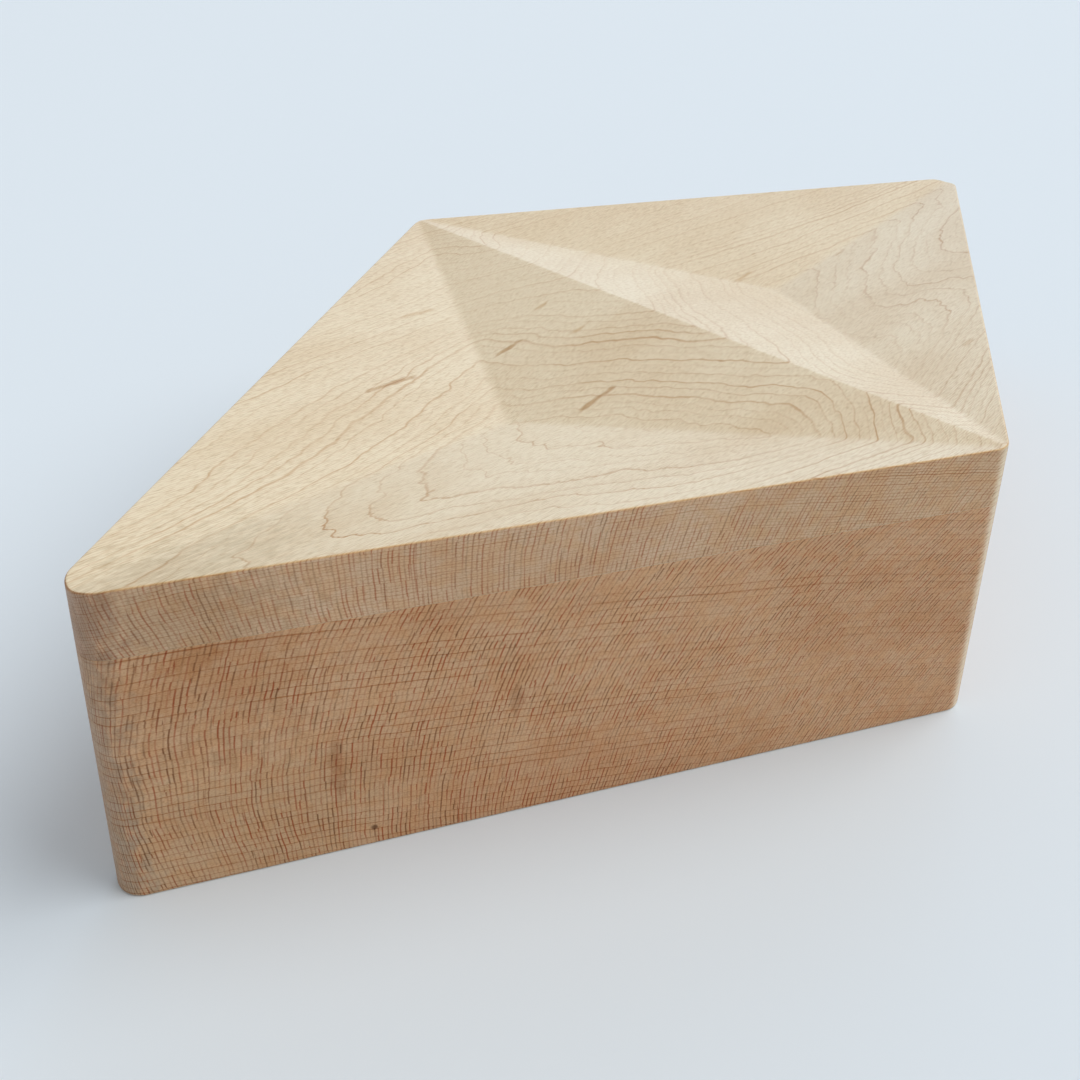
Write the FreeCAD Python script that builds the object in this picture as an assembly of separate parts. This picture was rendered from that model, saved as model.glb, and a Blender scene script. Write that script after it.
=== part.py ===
"""Rhombic puzzle box: a hollowed maple block under a carved lid that swivels on a hidden bolt.

The plan is a rhombus, two equal triangles joined along its short diagonal. The lid is a slab whose top is
carved into one shallow three-sided hollow per triangle, so a ridge is left standing along the short diagonal.
The lid turns about a bolt near one acute corner. Two steel pins in the block can rise across the seam and lock
it. The pins are modelled lowered, with the lid shut, so the box stands closed but unlocked.

Frame: origin at the centre of the base, X along the long diagonal from the pivot end, Z up, millimetres.
"""

import FreeCAD, Part
import math
import os

Vector = FreeCAD.Vector

# Outside of the box
SIDE = 152.0
ACUTE_ANGLE = 60.0
HEIGHT = 57.0
LID_THICKNESS = 11.5
VALLEY_DEPTH = 8.3
CORNER_RADIUS = 4.6

# Hollows in the block, and the floor let into its underside
WALL = 9.0
WEB = 16.0
HOLLOW_RADIUS = 6.0
TIP_RADIUS = 24.0
FLOOR_THICKNESS = 5.0
FLOOR_LIP = 5.0
FLOOR_RADIUS = 3.0
FLOOR_RECESS = 0.5

# Fits, on the radius or on each side
GLUE_GAP = 0.05
RUNNING_GAP = 0.05
SLIDING_GAP = 0.08
SOCKET_GAP = 0.3
FACE_SINK = 0.1

# Pivot, measured from the sharp corner of the plan
PIVOT_INSET = 24.0
SHANK_DIAMETER = 6.0
BUSH_DIAMETER = 9.0
BUSH_LENGTH = 20.0
FLANGE_DIAMETER = 12.0
FLANGE_THICKNESS = 1.0
INSERT_DIAMETER = 9.0
INSERT_COVER = 2.2
THREAD_DIAMETER = 5.0
THREAD_END_GAP = 0.5
HEAD_DIAMETER = 10.0
HEAD_HEIGHT = 4.0
HEX_WIDTH = 4.0
HEX_DEPTH = 2.2
WASHER_DIAMETER = 12.0
WASHER_THICKNESS = 1.0
WASHER_ROOM = 0.5
END_PLAY = 0.1

# Stop pin and the groove that it runs in
SWING = 90.0
STOP_DIAMETER = 3.0
STOP_BURIED = 9.0
STOP_RISE = 3.0
STOP_GAP = 0.25
STOP_WALL = 1.0
GROOVE_END_GAP = 0.5

# Lock pins, one near the far acute corner and one in the web
LOCK_INSET = 24.0
LOCK_DIAMETER = 5.0
LOCK_LENGTH = 14.0
LOCK_SINK = 0.4
LOCK_TRAVEL = 4.0
LOCK_CHAMFER = 0.5
SLEEVE_WALL = 1.0
CUP_WALL = 0.6
CUP_END_GAP = 0.3
REST_MAGNET_HEIGHT = 2.0
LIFT_MAGNET_DIAMETER = 6.0
LIFT_MAGNET_HEIGHT = 2.0

# Catch magnets at the two ends of the web, measured from the sharp corner of the plan
CATCH_INSET = 16.0
CATCH_DIAMETER = 6.0
CATCH_HEIGHT = 3.0

# Worked out from the driving dimensions
HALF_ANGLE = math.radians(ACUTE_ANGLE / 2)
HALF_LONG = SIDE * math.cos(HALF_ANGLE)
HALF_SHORT = SIDE * math.sin(HALF_ANGLE)
SEAM = HEIGHT - LID_THICKNESS
FLOOR_TOP = FLOOR_RECESS + FLOOR_THICKNESS

PIVOT_END = (-HALF_LONG, 0.0)
BACK_SIDE = (0.0, HALF_SHORT)
FAR_END = (HALF_LONG, 0.0)
FRONT_SIDE = (0.0, -HALF_SHORT)
RHOMBUS = [PIVOT_END, FRONT_SIDE, FAR_END, BACK_SIDE]

PIVOT = (-HALF_LONG + PIVOT_INSET, 0.0)
LOCKS = {"tip": (HALF_LONG - LOCK_INSET, 0.0), "web": (0.0, 0.0)}
CATCHES = [(0.0, -HALF_SHORT + CATCH_INSET), (0.0, HALF_SHORT - CATCH_INSET)]

BUSH_FOOT = SEAM - BUSH_LENGTH
WASHER_TOP = BUSH_FOOT - END_PLAY
HEAD_TOP = WASHER_TOP - WASHER_THICKNESS
STOP_RADIUS = FLANGE_DIAMETER / 2 + STOP_WALL + STOP_DIAMETER / 2
STOP = (PIVOT[0] + STOP_RADIUS, PIVOT[1])

SLEEVE_BORE = LOCK_DIAMETER + 2 * SLIDING_GAP
SLEEVE_DIAMETER = SLEEVE_BORE + 2 * SLEEVE_WALL
LOCK_TOP = SEAM - LOCK_SINK
LOCK_FOOT = LOCK_TOP - LOCK_LENGTH
SLEEVE_FOOT = LOCK_FOOT - REST_MAGNET_HEIGHT
CUP_BORE = LOCK_DIAMETER + 2 * SOCKET_GAP
CUP_DIAMETER = CUP_BORE + 2 * CUP_WALL
CUP_CEILING = LOCK_TOP + LOCK_TRAVEL + CUP_END_GAP
CUP_TOP = CUP_CEILING + CUP_WALL


def inset(corners, distances):
    """A convex outline, listed anticlockwise, with each side moved inwards by its own distance."""
    count = len(corners)
    sides = []
    for i in range(count):
        (x0, y0), (x1, y1) = corners[i], corners[(i + 1) % count]
        length = math.hypot(x1 - x0, y1 - y0)
        nx, ny = (y0 - y1) / length, (x1 - x0) / length
        sides.append((nx, ny, nx * x0 + ny * y0 + distances[i]))
    moved = []
    for i in range(count):
        (a, b, c), (d, e, f) = sides[i - 1], sides[i]
        cross = a * e - b * d
        moved.append(((c * e - b * f) / cross, (a * f - c * d) / cross))
    return moved


def prism(corners, radii, bottom, top):
    """An upright prism on an outline whose corners are rounded by tangent arcs."""
    count = len(corners)
    arcs = []
    for i in range(count):
        here = Vector(*corners[i], bottom)
        back = (Vector(*corners[i - 1], bottom) - here).normalize()
        ahead = (Vector(*corners[(i + 1) % count], bottom) - here).normalize()
        half = back.getAngle(ahead) / 2
        run = radii[i] / math.tan(half)
        depth = radii[i] / math.sin(half) - radii[i]
        middle = here + (back + ahead).normalize() * depth
        arcs.append((here + back * run, middle, here + ahead * run))
    edges = []
    for i in range(count):
        edges.append(Part.Arc(*arcs[i]).toShape())
        edges.append(Part.makeLine(arcs[i][2], arcs[(i + 1) % count][0]))
    return Part.Face(Part.Wire(edges)).extrude(Vector(0, 0, top - bottom))


def rod(place, diameter, bottom, top):
    """An upright cylinder."""
    return Part.makeCylinder(diameter / 2, top - bottom, Vector(place[0], place[1], bottom))


def tube(place, outer, inner, bottom, top):
    """An upright cylinder with a bore right through."""
    return rod(place, outer, bottom, top).cut(rod(place, inner, bottom, top))


def lid_top(corner_inset):
    """Height of the lid above a point on the long diagonal, measured in from the sharp corner."""
    valley_run = 2 * HALF_LONG / 3
    return HEIGHT - VALLEY_DEPTH * corner_inset / valley_run


def valley_cutter(corner):
    """The inverted pyramid cut over one triangle: its point is under the triangle's centre, and its three faces
    pass through the triangle's sides at full height and run on up past them."""
    point = Vector((corner[0] + FRONT_SIDE[0] + BACK_SIDE[0]) / 3, 0, HEIGHT - VALLEY_DEPTH)
    reach = 2.0
    rim = []
    for x, y in (corner, FRONT_SIDE, BACK_SIDE):
        rim.append(point + (Vector(x, y, HEIGHT) - point) * reach)
    faces = [Part.Face(Part.makePolygon(rim + rim[:1]))]
    for i in range(3):
        side = [point, rim[i], rim[(i + 1) % 3]]
        faces.append(Part.Face(Part.makePolygon(side + side[:1])))
    return Part.makeSolid(Part.makeShell(faces))


def stop_groove():
    """The curved groove under the lid: an arc about the pivot, as wide as the stop pin and its gap."""
    half_width = STOP_DIAMETER / 2 + STOP_GAP

    def at(radius, degrees):
        turn = math.radians(degrees)
        return Vector(PIVOT[0] + radius * math.cos(turn), PIVOT[1] + radius * math.sin(turn), SEAM)

    def end_cap(degrees, outward):
        tip = at(STOP_RADIUS, degrees) + Vector(
            -math.sin(math.radians(degrees)), math.cos(math.radians(degrees)), 0) * (half_width * outward)
        return tip

    inner, outer = STOP_RADIUS - half_width, STOP_RADIUS + half_width
    edges = [
        Part.Arc(at(outer, -SWING), at(outer, -SWING / 2), at(outer, 0)).toShape(),
        Part.Arc(at(outer, 0), end_cap(0, 1), at(inner, 0)).toShape(),
        Part.Arc(at(inner, 0), at(inner, -SWING / 2), at(inner, -SWING)).toShape(),
        Part.Arc(at(inner, -SWING), end_cap(-SWING, -1), at(outer, -SWING)).toShape(),
    ]
    return Part.Face(Part.Wire(edges)).extrude(Vector(0, 0, STOP_RISE + GROOVE_END_GAP))


def hollow(corner):
    """One three-sided hollow, right through the block, with a wide round at the tip so that wood is left there
    for the bolt or the lock."""
    triangle = [corner, FRONT_SIDE, BACK_SIDE]
    distances = [WALL, WEB / 2, WALL]
    if corner[0] > 0:
        triangle = [corner, BACK_SIDE, FRONT_SIDE]
    return prism(inset(triangle, distances), [TIP_RADIUS, HOLLOW_RADIUS, HOLLOW_RADIUS], 0, SEAM)


def floor_outline(gap):
    """The rabbet under the block, or with a gap the board that is let into it."""
    return inset(RHOMBUS, [FLOOR_LIP + gap] * 4)


def body_block():
    block = prism(RHOMBUS, [CORNER_RADIUS] * 4, 0, SEAM)
    cuts = [hollow(PIVOT_END), hollow(FAR_END)]
    cuts.append(prism(floor_outline(0), [FLOOR_RADIUS] * 4, 0, FLOOR_TOP))
    cuts.append(rod(PIVOT, BUSH_DIAMETER + 2 * GLUE_GAP, BUSH_FOOT, SEAM))
    cuts.append(rod(PIVOT, FLANGE_DIAMETER + 2 * GLUE_GAP, SEAM - FLANGE_THICKNESS, SEAM))
    cuts.append(rod(PIVOT, WASHER_DIAMETER + 2 * WASHER_ROOM, FLOOR_TOP, BUSH_FOOT))
    cuts.append(rod(STOP, STOP_DIAMETER + 2 * GLUE_GAP, SEAM - STOP_BURIED, SEAM))
    for place in LOCKS.values():
        cuts.append(rod(place, SLEEVE_DIAMETER + 2 * GLUE_GAP, SLEEVE_FOOT, SEAM))
    for place in CATCHES:
        cuts.append(rod(place, CATCH_DIAMETER + 2 * GLUE_GAP, SEAM - FACE_SINK - CATCH_HEIGHT, SEAM))
    return block.cut(cuts)


def floor_panel():
    return prism(floor_outline(GLUE_GAP), [FLOOR_RADIUS] * 4, FLOOR_RECESS, FLOOR_TOP)


def lid_panel():
    slab = prism(RHOMBUS, [CORNER_RADIUS] * 4, SEAM, HEIGHT + VALLEY_DEPTH / 2)
    cuts = [valley_cutter(PIVOT_END), valley_cutter(FAR_END), stop_groove()]
    cuts.append(rod(PIVOT, INSERT_DIAMETER + 2 * GLUE_GAP, SEAM, lid_top(PIVOT_INSET) - INSERT_COVER))
    for place in LOCKS.values():
        cuts.append(rod(place, CUP_DIAMETER + 2 * GLUE_GAP, SEAM, CUP_TOP))
        cuts.append(rod(place, LIFT_MAGNET_DIAMETER + 2 * GLUE_GAP, CUP_TOP, CUP_TOP + LIFT_MAGNET_HEIGHT))
    for place in CATCHES:
        cuts.append(rod(place, CATCH_DIAMETER + 2 * GLUE_GAP, SEAM, SEAM + FACE_SINK + CATCH_HEIGHT))
    return slab.cut(cuts)


def pivot_insert():
    top = lid_top(PIVOT_INSET) - INSERT_COVER
    return tube(PIVOT, INSERT_DIAMETER, THREAD_DIAMETER + 2 * GLUE_GAP, SEAM, top)


def pivot_bolt():
    head_foot = HEAD_TOP - HEAD_HEIGHT
    head = rod(PIVOT, HEAD_DIAMETER, head_foot, HEAD_TOP)
    shank = rod(PIVOT, SHANK_DIAMETER, HEAD_TOP, SEAM)
    thread = rod(PIVOT, THREAD_DIAMETER, SEAM, lid_top(PIVOT_INSET) - INSERT_COVER - THREAD_END_GAP)
    corner_reach = HEX_WIDTH / 2 / math.cos(math.radians(30))
    hexagon = []
    for i in range(7):
        turn = math.radians(60 * i)
        hexagon.append(Vector(PIVOT[0] + corner_reach * math.cos(turn),
                              PIVOT[1] + corner_reach * math.sin(turn), head_foot))
    socket = Part.Face(Part.makePolygon(hexagon)).extrude(Vector(0, 0, HEX_DEPTH))
    return head.fuse([shank, thread]).removeSplitter().cut(socket)


def pivot_bush():
    sleeve = rod(PIVOT, BUSH_DIAMETER, BUSH_FOOT, SEAM)
    flange = rod(PIVOT, FLANGE_DIAMETER, SEAM - FLANGE_THICKNESS, SEAM)
    bore = rod(PIVOT, SHANK_DIAMETER + 2 * RUNNING_GAP, BUSH_FOOT, SEAM)
    return sleeve.fuse(flange).removeSplitter().cut(bore)


def pivot_washer():
    return tube(PIVOT, WASHER_DIAMETER, SHANK_DIAMETER + 2 * RUNNING_GAP, HEAD_TOP, WASHER_TOP)


def stop_pin():
    return rod(STOP, STOP_DIAMETER, SEAM - STOP_BURIED, SEAM + STOP_RISE)


def lock_pin(place):
    pin = rod(place, LOCK_DIAMETER, LOCK_FOOT, LOCK_TOP)
    ends = [edge for edge in pin.Edges if isinstance(edge.Curve, Part.Circle)]
    return pin.makeChamfer(LOCK_CHAMFER, ends)


def lock_sleeve(place):
    return tube(place, SLEEVE_DIAMETER, SLEEVE_BORE, SLEEVE_FOOT, SEAM - FACE_SINK)


def rest_magnet(place):
    return rod(place, SLEEVE_BORE - 2 * GLUE_GAP, SLEEVE_FOOT, LOCK_FOOT)


def strike_cup(place):
    return rod(place, CUP_DIAMETER, SEAM + FACE_SINK, CUP_TOP).cut(rod(place, CUP_BORE, SEAM, CUP_CEILING))


def lift_magnet(place):
    return rod(place, LIFT_MAGNET_DIAMETER, CUP_TOP, CUP_TOP + LIFT_MAGNET_HEIGHT)


def catch_magnets(bottom):
    return Part.makeCompound([rod(place, CATCH_DIAMETER, bottom, bottom + CATCH_HEIGHT) for place in CATCHES])


pieces = {
    "body_block": body_block(),
    "floor_panel": floor_panel(),
    "lid_panel": lid_panel(),
    "pivot_insert": pivot_insert(),
    "pivot_bolt": pivot_bolt(),
    "pivot_bush": pivot_bush(),
    "pivot_washer": pivot_washer(),
    "stop_pin": stop_pin(),
    "catch_magnets_block": catch_magnets(SEAM - FACE_SINK - CATCH_HEIGHT),
    "catch_magnets_lid": catch_magnets(SEAM + FACE_SINK),
}
for name, place in LOCKS.items():
    pieces["lock_pin_" + name] = lock_pin(place)
    pieces["lock_sleeve_" + name] = lock_sleeve(place)
    pieces["rest_magnet_" + name] = rest_magnet(place)
    pieces["strike_cup_" + name] = strike_cup(place)
    pieces["lift_magnet_" + name] = lift_magnet(place)

os.makedirs("parts", exist_ok=True)
for name, shape in pieces.items():
    solids = len(shape.Solids)
    print(f"{name}: {solids} solid, {shape.Volume:.1f} mm3, valid {shape.isValid()}")
    shape.exportStep("parts/" + name + ".step")
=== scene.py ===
# %% [markdown]
# # A maple puzzle box, dressed around its working model
# The box is a block with a rhombic plan under a lid that is carved into two shallow three-sided hollows.
# The working model is loaded first and never moved. Every piece made here takes its place from that model,
# so that the dressed box opens and locks just as the plain one does.

# %% Load the working model
import math

import bmesh
import bpy
import numpy as np
from mathutils import Matrix, Vector
from mathutils.geometry import delaunay_2d_cdt


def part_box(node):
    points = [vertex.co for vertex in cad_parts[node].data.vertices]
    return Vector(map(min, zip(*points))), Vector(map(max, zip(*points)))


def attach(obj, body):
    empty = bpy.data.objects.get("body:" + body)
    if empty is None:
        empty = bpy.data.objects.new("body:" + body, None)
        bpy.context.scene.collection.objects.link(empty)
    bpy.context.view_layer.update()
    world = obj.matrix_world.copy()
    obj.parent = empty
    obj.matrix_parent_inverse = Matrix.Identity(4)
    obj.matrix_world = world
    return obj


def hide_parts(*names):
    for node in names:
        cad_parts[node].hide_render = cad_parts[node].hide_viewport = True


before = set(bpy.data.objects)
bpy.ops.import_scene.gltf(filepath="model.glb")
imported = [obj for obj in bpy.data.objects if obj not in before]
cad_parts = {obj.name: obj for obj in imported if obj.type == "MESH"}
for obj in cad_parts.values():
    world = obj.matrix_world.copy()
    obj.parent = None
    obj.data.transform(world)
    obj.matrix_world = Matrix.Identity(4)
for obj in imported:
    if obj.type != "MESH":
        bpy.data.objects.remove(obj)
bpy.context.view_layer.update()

print("nodes:", len(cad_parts))

# %% [markdown]
# ## Sizes
# Heights and places can be read from the boxes round the model's nodes, which keeps both models in step.
# Only what a box can't tell, such as a corner's rounding, is written here as a size, in metres.

# %% Sizes of the wooden pieces
MM = 0.001
SIDE = 152 * MM
HALF_ANGLE = math.radians(30)
CORNER_RADIUS = 4.6 * MM
HALF_LONG = SIDE * math.cos(HALF_ANGLE)
HALF_SHORT = SIDE * math.sin(HALF_ANGLE)

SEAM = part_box("lid_panel")[0].z
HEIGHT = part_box("lid_panel")[1].z
FLOOR_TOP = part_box("floor_panel")[1].z
VALLEY_DEPTH = 8.3 * MM

PIVOT_END = (-HALF_LONG, 0.0)
FRONT_SIDE = (0.0, -HALF_SHORT)
FAR_END = (HALF_LONG, 0.0)
BACK_SIDE = (0.0, HALF_SHORT)
RHOMBUS = np.array([PIVOT_END, FRONT_SIDE, FAR_END, BACK_SIDE])

print("seam at", round(SEAM / MM, 2), "mm, top at", round(HEIGHT / MM, 2), "mm")


def middle(node):
    """The centre of a node's box in plan."""
    low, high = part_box(node)
    return np.array([(low.x + high.x) / 2, (low.y + high.y) / 2])


def levels(node):
    """The lowest and highest height of a node."""
    low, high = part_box(node)
    return low.z, high.z


# %% [markdown]
# ## Outlines and skins
# The block, the lid and the hollows all have the same kind of plan: straight sides with round corners.
# A modelled outline could be beveled afterwards, but a formula gives the outward direction at every point
# too, and with that the same outline can be moved in or out to ease an edge.

# %% A polygon with round corners
ARC_POINTS = 17
SIDE_POINTS = 84


def rounded_outline(corners, radii, side_points=SIDE_POINTS, arc_points=ARC_POINTS):
    """Points and outward normals of a polygon with round corners, listed anticlockwise.

    At a corner that turns by an angle t, the arc starts r * tan(t / 2) before the corner, its centre lies one
    radius inside that point, and it turns from the normal of the side before to that of the side after.
    Evenly spaced points then lead along the straight part to the next arc.
    """
    corners = np.asarray(corners, float)
    sides = np.roll(corners, -1, axis=0) - corners
    along = sides / np.linalg.norm(sides, axis=1)[:, None]
    outward = np.stack([along[:, 1], -along[:, 0]], axis=1)
    before = np.roll(outward, 1, axis=0)
    turn = np.arctan2(before[:, 0] * outward[:, 1] - before[:, 1] * outward[:, 0],
                      np.sum(before * outward, axis=1))
    radii = np.asarray(radii, float)
    centres = corners + along * (radii * np.tan(turn / 2))[:, None] - outward * radii[:, None]
    start = np.arctan2(before[:, 1], before[:, 0])
    angle = start[:, None] + turn[:, None] * np.linspace(0, 1, arc_points)
    arc_normals = np.stack([np.cos(angle), np.sin(angle)], axis=2)
    arcs = centres[:, None] + radii[:, None, None] * arc_normals
    share = np.linspace(0, 1, side_points + 2)[1:-1, None]
    leave, arrive = arcs[:, -1], np.roll(arcs[:, 0], -1, axis=0)
    straight = leave[:, None] * (1 - share) + arrive[:, None] * share
    straight_normals = np.repeat(outward[:, None], side_points, axis=1)
    points = np.concatenate([arcs, straight], axis=1).reshape(-1, 2)
    normals = np.concatenate([arc_normals, straight_normals], axis=1).reshape(-1, 2)
    return points, normals


def inset_corners(corners, distances):
    """Corners of a convex outline whose sides move inwards, each by its own distance.

    A side's line is n . p = c, with n pointing inwards, so the moved line is n . p = c + distance, and each new
    corner solves the two lines that meet there.
    """
    corners = np.asarray(corners, float)
    sides = np.roll(corners, -1, axis=0) - corners
    inward = np.stack([-sides[:, 1], sides[:, 0]], axis=1)
    inward /= np.linalg.norm(inward, axis=1)[:, None]
    reach = np.sum(inward * corners, axis=1) + np.asarray(distances, float)
    pairs = np.stack([np.roll(inward, 1, axis=0), inward], axis=1)
    return np.linalg.solve(pairs, np.stack([np.roll(reach, 1), reach], axis=1)[:, :, None])[:, :, 0]


outline, outward = rounded_outline(RHOMBUS, [CORNER_RADIUS] * 4)
print("outline:", len(outline), "points, half length", round(outline[:, 0].max() / MM, 2), "mm")

# %% [markdown]
# A closed skin is put together from two kinds of surface. A sheet joins a row of loops, which is a profile
# carried round an outline. A flat face is filled between one outer loop and any holes in it. The loops are
# shared, so merging the doubled points afterwards closes every seam.

# %% Sheets and flat faces
def at_height(points, height):
    """Plan points lifted to a height, which may be one number or one for each point."""
    return np.column_stack([points, np.broadcast_to(height, len(points))])


def sheet(loops):
    """Four-sided faces between closed loops of equal length: one parameter runs along a loop, one across."""
    rows = np.stack(loops)
    index = np.arange(rows.shape[0] * rows.shape[1]).reshape(rows.shape[:2])
    here, there = index[:-1], index[1:]
    faces = np.stack([here, np.roll(here, -1, axis=1), np.roll(there, -1, axis=1), there], axis=-1)
    return rows.reshape(-1, 3), faces.reshape(-1, 4), True


def within(points, loop):
    """True for points inside a loop: a ray to the right crosses its edges an odd number of times."""
    x, y = points[:, 0][:, None], points[:, 1][:, None]
    here, there = loop, np.roll(loop, -1, axis=0)
    spans = (here[:, 1] > y) != (there[:, 1] > y)
    rise = there[:, 1] - here[:, 1]
    rise = np.where(rise == 0, 1, rise)
    crossing = here[:, 0] + (y - here[:, 1]) * (there[:, 0] - here[:, 0]) / rise
    return np.sum(spans & (x < crossing), axis=1) % 2 == 1


def flat_face(outer, holes, height):
    """Triangles of the level face inside an outer loop and outside the holes in it."""
    loops = [outer, *holes]
    starts = np.cumsum([0] + [len(loop) for loop in loops])
    edges = []
    for start, loop in zip(starts, loops):
        index = np.arange(len(loop))
        edges.append(start + np.stack([index, np.roll(index, -1)], axis=1))
    points = [Vector(point) for point in np.vstack(loops)]
    made = delaunay_2d_cdt(points, np.vstack(edges).tolist(), [], 1, 1e-9)
    plan = np.array(made[0])
    faces = np.array(made[2])
    centres = plan[faces].mean(axis=1)
    keep = np.ones(len(faces), bool)
    for hole in holes:
        keep &= ~within(centres, hole)
    return at_height(plan, height), faces[keep], False


# %% One closed piece from several surfaces
MERGE_DISTANCE = 0.0005 * MM
SHARP_ANGLE = math.radians(40)


def closed_piece(name, surfaces):
    """A mesh object from surfaces that share their edges, with its doubles merged and its faces outwards."""
    points, faces, smooth, start = [], [], [], 0
    for surface_points, surface_faces, is_smooth in surfaces:
        points.append(surface_points)
        faces += (surface_faces + start).tolist()
        smooth.append(np.full(len(surface_faces), is_smooth))
        start += len(surface_points)
    mesh = bpy.data.meshes.new(name)
    mesh.from_pydata(np.vstack(points), [], faces)
    mesh.polygons.foreach_set("use_smooth", np.concatenate(smooth))
    work = bmesh.new()
    work.from_mesh(mesh)
    bmesh.ops.remove_doubles(work, verts=work.verts, dist=MERGE_DISTANCE)
    bmesh.ops.dissolve_degenerate(work, edges=work.edges, dist=MERGE_DISTANCE / 10)
    bmesh.ops.recalc_face_normals(work, faces=work.faces)
    open_edges = sum(len(edge.link_faces) != 2 for edge in work.edges)
    print(name, len(work.verts), "points,", len(work.faces), "faces,", open_edges, "open edges,",
          round(work.calc_volume(signed=True) * 1e6, 2), "cm3")
    work.to_mesh(mesh)
    work.free()
    mesh.set_sharp_from_angle(angle=SHARP_ANGLE)
    piece = bpy.data.objects.new(name, mesh)
    bpy.context.scene.collection.objects.link(piece)
    return piece


def circle(centre, radius, count=48):
    """A circle's points, anticlockwise: centre + radius * (cos t, sin t)."""
    turn = 2 * np.pi * np.arange(count) / count
    return centre + radius * np.stack([np.cos(turn), np.sin(turn)], axis=1)


# %% [markdown]
# ## The lid
# The lid's top is two inverted pyramids that share a ridge along the short diagonal. Each could be cut with a
# Boolean, but sanding has eased the real creases a little, and a height formula does that too. The height falls
# from the rim in proportion to the distance to the nearest of the triangle's three sides. A soft minimum of the
# three distances rounds the valleys, and a soft absolute value of x rounds the ridge.

# %% Height of the carved top
VALLEY_SOFTNESS = 1.6 * MM
RIDGE_SOFTNESS = 0.35 * MM
TRIANGLE_INRADIUS = HALF_LONG / 3
FALL = VALLEY_DEPTH / TRIANGLE_INRADIUS


def soft_minimum(a, b, softness):
    """The smaller of two values, rounded off by h * h * softness / 4 where they come within the softness."""
    overlap = np.maximum(softness - np.abs(a - b), 0) / softness
    return np.minimum(a, b) - overlap * overlap * softness / 4


def top_height(plan):
    """Height of the lid's top over plan points: rim height less fall * distance to the nearest side."""
    x, y = np.abs(plan[:, 0]), plan[:, 1]
    to_ridge = np.sqrt(x * x + RIDGE_SOFTNESS**2) - RIDGE_SOFTNESS / 2
    to_front = (HALF_LONG - x) * math.sin(HALF_ANGLE) + y * math.cos(HALF_ANGLE)
    to_back = (HALF_LONG - x) * math.sin(HALF_ANGLE) - y * math.cos(HALF_ANGLE)
    nearest_side = soft_minimum(to_front, to_back, VALLEY_SOFTNESS)
    return HEIGHT - FALL * soft_minimum(nearest_side, to_ridge, VALLEY_SOFTNESS)


# %% [markdown]
# The top is gridded in two halves. In each, loops of the triangle's shape shrink towards its lowest point, so
# the grid's lines lie along the rim, the ridge and the valleys, where the creases are.

# %% The carved top in two halves
TOP_EDGE_EASE = 0.35 * MM
EASE_STEPS = 5
RING_COUNT = 70
RING_CROWDING = 1.6
RIDGE_POINTS = 90
RIM_LEAN = math.atan(FALL)
RIM_INSET = TOP_EDGE_EASE * (1 + math.sin(RIM_LEAN))

rim = outline - outward * RIM_INSET


def half_top(half_sign):
    """One carved triangle: point(u, s) = low point + s * (loop(u) - low point), lifted to the top's height."""
    front = ARC_POINTS + SIDE_POINTS + ARC_POINTS // 2
    back = front + 2 * (ARC_POINTS + SIDE_POINTS)
    if half_sign < 0:
        edge = np.vstack([rim[back:], rim[: front + 1]])
    else:
        edge = rim[front: back + 1]
    share = np.linspace(0, 1, RIDGE_POINTS + 2)[1:-1, None]
    ridge = edge[-1] * (1 - share) + edge[0] * share
    loop = np.vstack([edge, ridge])
    low_point = np.array([half_sign * TRIANGLE_INRADIUS, 0])
    shares = 1 - (1 - np.linspace(0, 1, RING_COUNT)) ** RING_CROWDING
    rings = [low_point + share * (loop - low_point) for share in shares]
    return sheet([at_height(ring, top_height(ring)) for ring in rings])


# %% The lid's rim, sides and underside
SEAM_EASE = 0.13 * MM
SUPPORT = 0.3 * MM


def quarter_ease(radius, start, steps=EASE_STEPS):
    """Offsets outwards and upwards along an eased edge, from an angle above the horizon round to level."""
    angle = np.linspace(start, 0, steps)
    return radius * (np.cos(angle) - 1), radius * (np.sin(angle) - math.sin(start))


def lid_sides():
    """The rim's ease, the upright side and the ease at the seam, each a loop of the outline moved in or out."""
    rim_height = top_height(rim)
    out, down = quarter_ease(TOP_EDGE_EASE, math.pi / 2 + RIM_LEAN)
    loops = [at_height(outline + outward * o, rim_height + d) for o, d in zip(out, down)]
    loops.append(at_height(outline, rim_height + down[-1] - SUPPORT))
    loops.append(at_height(outline, SEAM + SEAM_EASE + SUPPORT))
    turn = np.linspace(0, math.pi / 2, EASE_STEPS)
    for angle in turn:
        moved = outline + outward * SEAM_EASE * (math.cos(angle) - 1)
        loops.append(at_height(moved, SEAM + SEAM_EASE * (1 - math.sin(angle))))
    return sheet(loops)


def blind_bore(loop, mouth, end):
    """A bore that stops: its wall and the level face at its end."""
    return [sheet([at_height(loop, mouth), at_height(loop, end)]), flat_face(loop, [], end)]


# %% [markdown]
# Bores under the lid hold the threaded insert, two brass cups over the lock pins and two catch magnets, and a
# curved groove runs round the stop pin. Each bore is a loop in the underside with a wall and an end of its own.

# %% Bores and groove under the lid
FIT = 0.05 * MM
GROOVE_GAP = 0.25 * MM
GROOVE_END_GAP = 0.5 * MM
SWING = math.radians(90)
PIVOT = middle("pivot_bush")
STOP = middle("stop_pin")
LOCKS = {"tip": middle("lock_pin_tip"), "web": middle("lock_pin_web")}
CATCH_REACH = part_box("catch_magnets_lid")[1].y
CATCH_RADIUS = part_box("catch_magnets_lid")[1].x
CATCHES = [np.array([0, -CATCH_REACH + CATCH_RADIUS]), np.array([0, CATCH_REACH - CATCH_RADIUS])]


def radius_of(node):
    """Half of a round node's width."""
    low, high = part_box(node)
    return (high.x - low.x) / 2


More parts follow.
